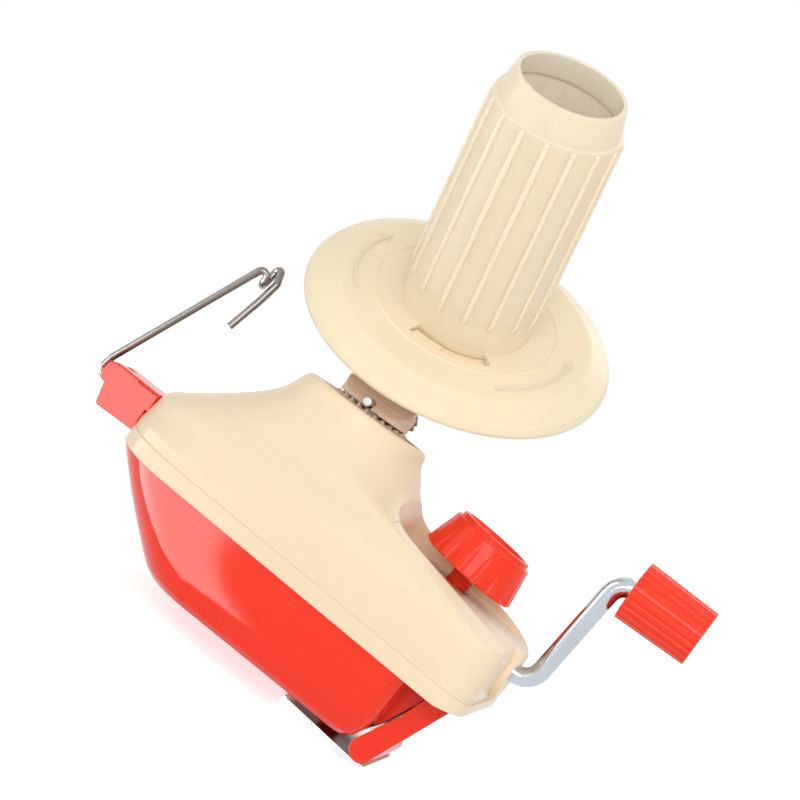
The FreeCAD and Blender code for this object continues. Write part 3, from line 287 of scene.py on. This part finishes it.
def hairlines():
    """Group: sparse fine scratches that run in streaks, and small specks of dust."""
    group = bpy.data.node_groups.new("hairlines", "ShaderNodeTree")
    value_input(group, "Density", 0.5)
    outputs(group, Scratches="NodeSocketFloat", Dust="NodeSocketFloat")
    given = group.nodes.new("NodeGroupInput")
    result = group.nodes.new("NodeGroupOutput")
    place = group.nodes.new("ShaderNodeTexCoord").outputs["Object"]
    total = None
    for turn, stretch in ((0.5, 26.0), (-0.9, 34.0)):
        turned = group.nodes.new("ShaderNodeMapping")
        turned.inputs["Rotation"].default_value = (0.4 * turn, turn, 0.3)
        turned.inputs["Scale"].default_value = (60.0, 60.0 * stretch, 60.0 * stretch)
        group.links.new(place, turned.inputs["Vector"])
        streaks = spread(group, noise(group, turned.outputs["Vector"], 1.0, 1.0),
                         0.0, 1.0, 0.68, 0.76)
        total = streaks if total is None else arithmetic(group, "MAXIMUM", total, streaks)
    patches = spread(group, noise(group, place, 35.0, 2.0), 0.0, given.outputs["Density"],
                     0.45, 0.75)
    group.links.new(arithmetic(group, "MULTIPLY", total, patches), result.inputs["Scratches"])

    cells = group.nodes.new("ShaderNodeTexVoronoi")
    cells.inputs["Scale"].default_value = 260.0
    group.links.new(place, cells.inputs["Vector"])
    specks = spread(group, cells.outputs["Distance"], 1.0, 0.0, 0.03, 0.075)
    chosen = group.nodes.new("ShaderNodeSeparateColor")
    group.links.new(cells.outputs["Color"], chosen.inputs["Color"])
    few = spread(group, chosen.outputs[0], 0.0, given.outputs["Density"], 0.70, 1.0)
    group.links.new(arithmetic(group, "MULTIPLY", specks, few), result.inputs["Dust"])
    return group


skin_group = moulded_skin()
edge_group = edge_find()
hairline_group = hairlines()


def group_node(tree, group, **values):
    node = tree.nodes.new("ShaderNodeGroup")
    node.node_tree = group
    for name, value in values.items():
        node.inputs[name.replace("_", " ")].default_value = value
    return node


def plastic(name, colour, deep, pale, flow, smooth, rubbed, skin, edge, scuffs, gloss,
            subsurface=0.0, soak=(0.004, 0.003, 0.0015), wear_and_highlight_paleness=0.45):
    """Moulded plastic with softened, slightly paler edges, hairline scratches and dust. The paler
    edges are wear, and with a high paleness they are also a painted highlight.
    """
    material, tree, output = new_material(name)
    body = tree.nodes.new("ShaderNodeBsdfPrincipled")
    pattern = group_node(tree, skin_group, Plastic=colour, Deep_plastic=deep, Flow=flow,
                         Smooth=smooth, Rubbed=rubbed, Skin=skin)
    edges = group_node(tree, edge_group, Radius=edge)
    lines = group_node(tree, hairline_group, Density=scuffs)
    # Edges blend towards the pale colour: wear, and at a high paleness also a painted highlight
    worn = arithmetic(tree, "MULTIPLY", edges.outputs["Edge"], wear_and_highlight_paleness)
    tone = blended(tree, worn, pattern.outputs["Colour"], pale)
    tone = blended(tree, arithmetic(tree, "MULTIPLY", lines.outputs["Scratches"], 0.16), tone,
                   pale)
    tone = blended(tree, arithmetic(tree, "MULTIPLY", lines.outputs["Dust"], 0.35), tone,
                   (0.92, 0.88, 0.82, 1.0))
    tree.links.new(tone, body.inputs["Base Color"])
    dulled = arithmetic(tree, "MULTIPLY", lines.outputs["Scratches"], 0.25)
    rough = arithmetic(tree, "ADD", pattern.outputs["Roughness"], dulled)
    tree.links.new(arithmetic(tree, "ADD", rough, arithmetic(tree, "MULTIPLY", worn, 0.2)),
                   body.inputs["Roughness"])
    bump = tree.nodes.new("ShaderNodeBump")
    bump.inputs["Strength"].default_value = 0.35
    bump.inputs["Distance"].default_value = 0.0002
    tree.links.new(pattern.outputs["Height"], bump.inputs["Height"])
    tree.links.new(edges.outputs["Normal"], bump.inputs["Normal"])
    tree.links.new(bump.outputs["Normal"], body.inputs["Normal"])
    tree.links.new(body.outputs[0], output.inputs["Surface"])
    body.inputs["IOR"].default_value = 1.5
    body.inputs["Specular IOR Level"].default_value = gloss
    body.inputs["Subsurface Weight"].default_value = subsurface
    body.inputs["Subsurface Radius"].default_value = soak
    body.inputs["Subsurface Scale"].default_value = 1.0
    return material


def dress(node, material):
    """Give a carried-over node its finish."""
    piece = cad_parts[node]
    piece.data.materials.clear()
    piece.data.materials.append(material)


cream = plastic("cream_plastic", (0.90, 0.745, 0.525, 1), (0.86, 0.685, 0.465, 1),
                (0.95, 0.83, 0.65, 1), flow=0.5, smooth=0.20, rubbed=0.30, skin=0.06,
                edge=0.0006, scuffs=0.35, gloss=0.20, subsurface=0.1)
dress("upper_shell", cream)


# Red bowl
# The lower housing is a deep glossy red bowl. Its long sides are plain and mirror the studio, and
# they carry the fine scratches and dust of a handled tool.
red = plastic("red_plastic", (0.95, 0.041, 0.012, 1), (0.86, 0.030, 0.009, 1),
              (0.95, 0.20, 0.12, 1), flow=0.5, smooth=0.05, rubbed=0.09, skin=0.03,
              edge=0.0006, scuffs=0.9, gloss=0.28)
dress("lower_housing", red)


# Housing screws
# Four steel screws pull the two halves together. They are driven from below and sit in deep
# counterbores under the bowl.


def metal(name, colour, worn, smooth, rubbed, skin, scuffs):
    """Polished or drawn metal with hairlines and faint pits."""
    material, tree, output = new_material(name)
    body = tree.nodes.new("ShaderNodeBsdfPrincipled")
    pattern = group_node(tree, skin_group, Plastic=colour, Deep_plastic=worn, Flow=0.8,
                         Smooth=smooth, Rubbed=rubbed, Skin=skin)
    edges = group_node(tree, edge_group, Radius=0.0003)
    lines = group_node(tree, hairline_group, Density=scuffs)
    tree.links.new(blended(tree, lines.outputs["Scratches"], pattern.outputs["Colour"], worn),
                   body.inputs["Base Color"])
    dulled = arithmetic(tree, "MULTIPLY", lines.outputs["Scratches"], 0.3)
    tree.links.new(arithmetic(tree, "ADD", pattern.outputs["Roughness"], dulled),
                   body.inputs["Roughness"])
    bump = tree.nodes.new("ShaderNodeBump")
    bump.inputs["Strength"].default_value = 0.3
    bump.inputs["Distance"].default_value = 0.0001
    tree.links.new(pattern.outputs["Height"], bump.inputs["Height"])
    tree.links.new(edges.outputs["Normal"], bump.inputs["Normal"])
    tree.links.new(bump.outputs["Normal"], body.inputs["Normal"])
    tree.links.new(body.outputs[0], output.inputs["Surface"])
    body.inputs["Metallic"].default_value = 1.0
    return material


steel = metal("bright_steel", (0.58, 0.58, 0.57, 1), (0.42, 0.41, 0.40, 1),
              smooth=0.18, rubbed=0.38, skin=0.1, scuffs=0.6)
for index in range(1, 5):
    dress("housing_screw_%d" % index, steel)


# Crank
# A chrome plated rod is bent twice. It carries a ribbed red grip at one end and, inside the
# housing, the large white nylon gear at the other.
chrome = metal("chrome_steel", (0.62, 0.665, 0.72, 1), (0.48, 0.51, 0.55, 1),
               smooth=0.05, rubbed=0.13, skin=0.05, scuffs=0.5)
dress("crank_rod", chrome)
satin_red = plastic("satin_red_plastic", (0.96, 0.047, 0.015, 1), (0.88, 0.036, 0.011, 1),
                    (0.95, 0.20, 0.12, 1), flow=0.5, smooth=0.12, rubbed=0.20, skin=0.05,
                    edge=0.0004, scuffs=0.6, gloss=0.22)
dress("crank_grip", satin_red)
nylon = plastic("white_nylon", (0.82, 0.80, 0.74, 1), (0.75, 0.72, 0.65, 1), (0.9, 0.88, 0.84, 1),
                flow=0.5, smooth=0.4, rubbed=0.55, skin=0.10, edge=0.0003, scuffs=0.2, gloss=0.4,
                subsurface=0.1)
dress("crank_gear", nylon)


# Spindle and winding head
# The steel spindle turns in the housing. A tan collar with its pressed-in pin carries the spool
# axle, and the small gears round the fixed ring turn the spool as the head goes round.
for node in ("spindle", "drive_pin", "spool_axle", "lay_shaft"):
    dress(node, steel)
for node in ("spindle_pinion", "lay_gear"):
    dress(node, nylon)
tan = plastic("tan_plastic", (0.93, 0.74, 0.60, 1), (0.82, 0.62, 0.49, 1), (0.97, 0.84, 0.72, 1),
              flow=0.6, smooth=0.33, rubbed=0.48, skin=0.10, edge=0.0004, scuffs=0.4, gloss=0.4)
ring_brown = plastic("ring_brown_plastic", (0.66, 0.47, 0.35, 1), (0.52, 0.35, 0.25, 1),
                     (0.80, 0.62, 0.49, 1), flow=0.6, smooth=0.35, rubbed=0.5, skin=0.10,
                     edge=0.0003, scuffs=0.4, gloss=0.3)
# The dark brown is painted shade, for the shaded planet gear and the disc under the collar
brown = plastic("brown_plastic", (0.36, 0.235, 0.165, 1), (0.27, 0.17, 0.12, 1),
                (0.5, 0.36, 0.27, 1), flow=0.6, smooth=0.35, rubbed=0.5, skin=0.10,
                edge=0.0003, scuffs=0.4, gloss=0.4)
dress("head_carrier", tan)


def surface_shader(material):
    """The main shader of a finished material."""
    return next(node for node in material.node_tree.nodes if node.type == "BSDF_PRINCIPLED")


def turned_lines(material, dark, amount):
    """Fine rings round the spindle axis, left by the tool or the mould."""
    tree = material.node_tree
    body = surface_shader(material)
    tone = body.inputs["Base Color"].links[0].from_socket
    flat = tree.nodes.new("ShaderNodeMapping")
    flat.inputs["Scale"].default_value = (12.0, 12.0, 1500.0)
    tree.links.new(tree.nodes.new("ShaderNodeTexCoord").outputs["Object"], flat.inputs["Vector"])
    rings = spread(tree, noise(tree, flat.outputs["Vector"], 1.0, 2.0), 0.0, amount, 0.35, 0.65)
    tree.links.new(blended(tree, rings, tone, dark), body.inputs["Base Color"])


turned_lines(tan, (0.58, 0.41, 0.31, 1), 0.55)
dress("sun_ring", ring_brown)
# Painted shade: the planet gear is dressed in the dark brown
dress("planet_gear", brown)


# Shade disc under the collar
# Under the collar a thin brown disc reaches down to the fixed ring and turns with the head. It is a
# dark sheet put there as painted shade, so no light shows between them.
SHADE_DISC_SECTION = ((0.0032, 0.08663), (0.0118, 0.08663), (0.0121, 0.08675), (0.0121, 0.08712),
                  (0.0032, 0.08712))


def tube_faces(rows, width, first=0, closed=False):
    """Four-sided faces between neighbouring rows of points, each row a closed loop."""
    faces = []
    for row in range(rows if closed else rows - 1):
        here = first + row * width
        there = first + (row + 1) % rows * width
        for column in range(width):
            after = (column + 1) % width
            faces.append((here + column, here + after, there + after, there + column))
    return faces


def mesh_piece(name, points, faces, material, body):
    """New mesh object that rides on a body."""
    mesh = bpy.data.meshes.new(name)
    mesh.from_pydata(points, [], faces)
    build = bmesh.new()
    build.from_mesh(mesh)
    bmesh.ops.recalc_face_normals(build, faces=build.faces)
    build.to_mesh(mesh)
    build.free()
    mesh.materials.append(material)
    piece = bpy.data.objects.new(name, mesh)
    bpy.context.scene.collection.objects.link(piece)
    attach(piece, body)
    return piece


def turned_piece(name, section, material, body):
    """Ring with a section given as (radius, height), turned round the spindle axis."""
    around = 96
    points = []
    for step in range(around):
        angle = 2 * math.pi * step / around
        points += [(radius * math.cos(angle), radius * math.sin(angle), height)
                   for radius, height in section]
    faces = tube_faces(around, len(section), closed=True)
    mesh_piece(name, points, faces, material, body)


turned_piece("collar_shade_disc", SHADE_DISC_SECTION, brown, "head")


# Spool and its hub
# The spool and its flange are one cream moulding that twists onto the geared hub. Two plain
# raised arrows on the flange show the two ways to twist it.
# The strong edge paleness of the spool paints highlights along its edges and raised rings
spool_cream = plastic("spool_cream_plastic", (0.945, 0.785, 0.555, 1), (0.91, 0.735, 0.505, 1),
                      (0.98, 0.88, 0.70, 1), flow=0.5, smooth=0.20, rubbed=0.30, skin=0.06,
                      edge=0.00025, scuffs=0.3, gloss=0.25, subsurface=0.35,
                      soak=(0.008, 0.0065, 0.0045), wear_and_highlight_paleness=0.9)
dress("spool_hub", cream)
dress("spool", spool_cream)

HEAD_TILT = math.radians(38.5)
RIM_POINT = (0.0, 0.0, 0.1589)
RIM_BACK = 0.0384
SPOOL_TURN = Matrix.Rotation(HEAD_TILT, 4, "X")
SPOOL_FRAME = Matrix.Translation(RIM_POINT) @ SPOOL_TURN @ Matrix.Translation((0, 0, -RIM_BACK))
ARROW_RADIUS = 0.0412
ARROW_LOW = 0.0074
ARROW_TOP = 0.0081
BORE_START = 0.012         # height above the flange rim where the spool's bore begins


def arrow_outline(start, sweep, half_shaft, half_head, head_length):
    """Curved arrow on the flange as (angle, radius) pairs."""
    steps = 26
    neck = sweep - math.copysign(head_length, sweep)
    angles = [start + neck * step / steps for step in range(steps + 1)]
    outer = [(angle, ARROW_RADIUS + half_shaft) for angle in angles]
    inner = [(angle, ARROW_RADIUS - half_shaft) for angle in reversed(angles)]
    head = [(start + neck, ARROW_RADIUS + half_head), (start + sweep, ARROW_RADIUS),
            (start + neck, ARROW_RADIUS - half_head)]
    return outer + head + inner


def raised_arrow(name, start, sweep):
    """Low raised arrow with sloping sides."""
    low = arrow_outline(start, sweep, half_shaft=0.00075, half_head=0.0024, head_length=0.11)
    high = arrow_outline(start + math.copysign(0.006, sweep), sweep * 0.985,
                         half_shaft=0.0005, half_head=0.0020, head_length=0.105)
    points = []
    for outline, height in ((low, ARROW_LOW), (high, ARROW_TOP)):
        for angle, radius in outline:
            spot = Vector((radius * math.cos(angle), radius * math.sin(angle), height))
            points.append(SPOOL_FRAME @ spot)
    count = len(low)
    faces = [(index, (index + 1) % count, count + (index + 1) % count, count + index)
             for index in range(count)]
    steps = (count - 3) // 2
    for index in range(steps - 1):
        other = count - 1 - index
        faces.append((count + index, count + index + 1, count + other - 1, count + other))
    faces.append((count + steps, count + steps + 1, count + steps + 2))
    mesh_piece(name, points, faces, spool_cream, "spool")


def vector_maths(tree, operation, *operands):
    """Vector math node; each operand is a plain vector or a socket."""
    node = tree.nodes.new("ShaderNodeVectorMath")
    node.operation = operation
    for socket, value in zip(node.inputs, operands):
        if isinstance(value, Vector):
            socket.default_value = value
        else:
            tree.links.new(value, socket)
    return node.outputs["Value"] if operation == "DOT_PRODUCT" else node.outputs["Vector"]


def painted_bore_light(material):
    """Painted light: the faces that look at the spool axis are painted paler, for the light that
    soaks through the thin wall.
    """
    tree = material.node_tree
    body = surface_shader(material)
    tone = body.inputs["Base Color"].links[0].from_socket
    axis = Vector(SPOOL_FRAME.col[2][:3])
    foot = Vector(SPOOL_FRAME.translation)
    place = tree.nodes.new("ShaderNodeTexCoord").outputs["Object"]
    offset = vector_maths(tree, "SUBTRACT", place, foot)
    height = vector_maths(tree, "DOT_PRODUCT", offset, axis)
    along = tree.nodes.new("ShaderNodeVectorMath")
    along.operation = "SCALE"
    along.inputs[0].default_value = axis
    tree.links.new(height, along.inputs["Scale"])
    outward = vector_maths(tree, "SUBTRACT", offset, along.outputs["Vector"])
    outward = vector_maths(tree, "NORMALIZE", outward)
    normal = tree.nodes.new("ShaderNodeNewGeometry").outputs["Normal"]
    inward = spread(tree, vector_maths(tree, "DOT_PRODUCT", outward, normal), 1.0, 0.0, -0.5, -0.2)
    above = arithmetic(tree, "GREATER_THAN", height, BORE_START)
    inside = arithmetic(tree, "MULTIPLY", inward, above)
    # Painted light: above BORE_START the bore faces blend towards a pale cream
    tree.links.new(blended(tree, inside, tone, (0.985, 0.88, 0.72, 1.0)),
                   body.inputs["Base Color"])


painted_bore_light(spool_cream)

# Sizes of the ribs are in millimetres: the section as (across, outward) points, and the stations
# along the spool as (height, wall radius, fullness)
MILLIMETRE = 0.001
RIB_COUNT = 16
RIB_FIRST = -70.0          # angle of the first rib, degrees
RIB_SECTION = ((-0.98, -0.30), (-0.82, 0.58), (-0.50, 0.74), (0.0, 0.80),
               (0.50, 0.74), (0.82, 0.58), (0.98, -0.30))
RIB_STATIONS = ((16.4, 23.7, 0.0), (17.0, 23.9, 0.35), (20.0, 24.0, 1.0), (50.0, 23.36, 1.0),
                (87.7, 22.54, 1.0), (88.75, 22.52, 0.55), (89.1, 22.5, 0.0))


def spool_ribs():
    """Rounded ribs moulded on the spool, which keep the yarn from slipping round."""
    points = []
    faces = []
    width = len(RIB_SECTION)
    for index in range(RIB_COUNT):
        angle = math.radians(RIB_FIRST + index * 360.0 / RIB_COUNT)
        radial = Vector((math.cos(angle), math.sin(angle), 0.0))
        across = Vector((-math.sin(angle), math.cos(angle), 0.0))
        first = len(points)
        for height, wall, fullness in RIB_STATIONS:
            for step, out in RIB_SECTION:
                lift = out * fullness if out > 0 else out
                spot = radial * (wall + lift) + across * step + Vector((0, 0, height))
                points.append(SPOOL_FRAME @ (spot * MILLIMETRE))
        faces += tube_faces(len(RIB_STATIONS), width, first)
        last = first + (len(RIB_STATIONS) - 1) * width
        faces.append(tuple(first + column for column in range(width)))
        faces.append(tuple(last + column for column in range(width)))
    piece = mesh_piece("spool_ribs", points, faces, rib_highlight_cream, "spool")
    for polygon in piece.data.polygons:
        polygon.use_smooth = len(polygon.vertices) == 4


# The ribs get a paler cream than the spool wall: a painted highlight along each rib
rib_highlight_cream = plastic("rib_cream_plastic", (0.96, 0.83, 0.63, 1), (0.93, 0.79, 0.58, 1),
                    (0.99, 0.90, 0.74, 1), flow=0.5, smooth=0.20, rubbed=0.30, skin=0.06,
                    edge=0.0002, scuffs=0.2, gloss=0.25)
spool_ribs()
raised_arrow("flange_arrow_left", math.radians(-136), math.radians(-58))
raised_arrow("flange_arrow_right", math.radians(-44), math.radians(58))


# Table clamp
# The fluted red knob and its screw swing with the jaw: a red lever on a steel pin, with a plated
# plate riveted to it. The screw runs through a brass cross barrel in the bowl.
dress("clamp_screw", satin_red)
dress("clamp_jaw", red)
zinc = metal("white_zinc", (0.88, 0.90, 0.90, 1), (0.70, 0.72, 0.72, 1),
             smooth=0.14, rubbed=0.26, skin=0.06, scuffs=0.5)
dress("clamp_plate", zinc)
for node in ("screw_button", "pivot_pin", "jaw_rivet_1", "jaw_rivet_2"):
    dress(node, steel)
brass = metal("turned_brass", (0.60, 0.42, 0.18, 1), (0.45, 0.30, 0.12, 1),
              smooth=0.2, rubbed=0.4, skin=0.1, scuffs=0.6)
dress("clamp_nut", brass)

CLAMP_LEAN = math.radians(5.5)
KNOB_PLACE = (0.0566, 0.0095, 0.0620)
KNOB_FRAME = Matrix.Translation(KNOB_PLACE) @ Matrix.Rotation(CLAMP_LEAN, 4, "Y")
STEM_RADIUS = 0.0040
THREAD_PITCH = 0.0015
THREAD_DEPTH = 0.00035
THREAD_SINK = 0.0002       # the ridge's foot lies this deep in the stem
THREAD_START = 0.0020
THREAD_TURNS = 7


def thread_ridge():
    """Moulded screw thread: one ridge wound down the stem below the knob."""
    around = 40
    profile = [(-0.36, -THREAD_SINK), (-0.10, THREAD_DEPTH), (0.10, THREAD_DEPTH),
               (0.36, -THREAD_SINK)]
    points = []
    steps = around * THREAD_TURNS
    for step in range(steps + 1):
        angle = 2 * math.pi * step / around
        ends = min(1.0, step / around * 2, (steps - step) / around * 2)
        drop = THREAD_START - THREAD_PITCH * step / around
        for along, out in profile:
            radius = STEM_RADIUS + (out * ends if out > 0 else out)
            points.append(KNOB_FRAME @ Vector((radius * math.cos(angle), radius * math.sin(angle),
                                               drop + along * THREAD_PITCH)))
    width = len(profile)
    faces = tube_faces(steps + 1, width)
    faces.append(tuple(range(width)))
    faces.append(tuple(steps * width + index for index in range(width)))
    piece = mesh_piece("stem_thread", points, faces, satin_red, "screw")
    for polygon in piece.data.polygons:
        polygon.use_smooth = True


thread_ridge()


# Yarn guide
# The red holder plugs into the end wall, and the bent steel wire hinges in it. The wire ends in an
# open pigtail eye.
dress("guide_holder", red)
dress("hinge_pin", steel)
wire = metal("wire_steel", (0.27, 0.245, 0.23, 1), (0.20, 0.18, 0.17, 1),
             smooth=0.20, rubbed=0.30, skin=0.03, scuffs=0.3)
dress("guide_wire", wire)
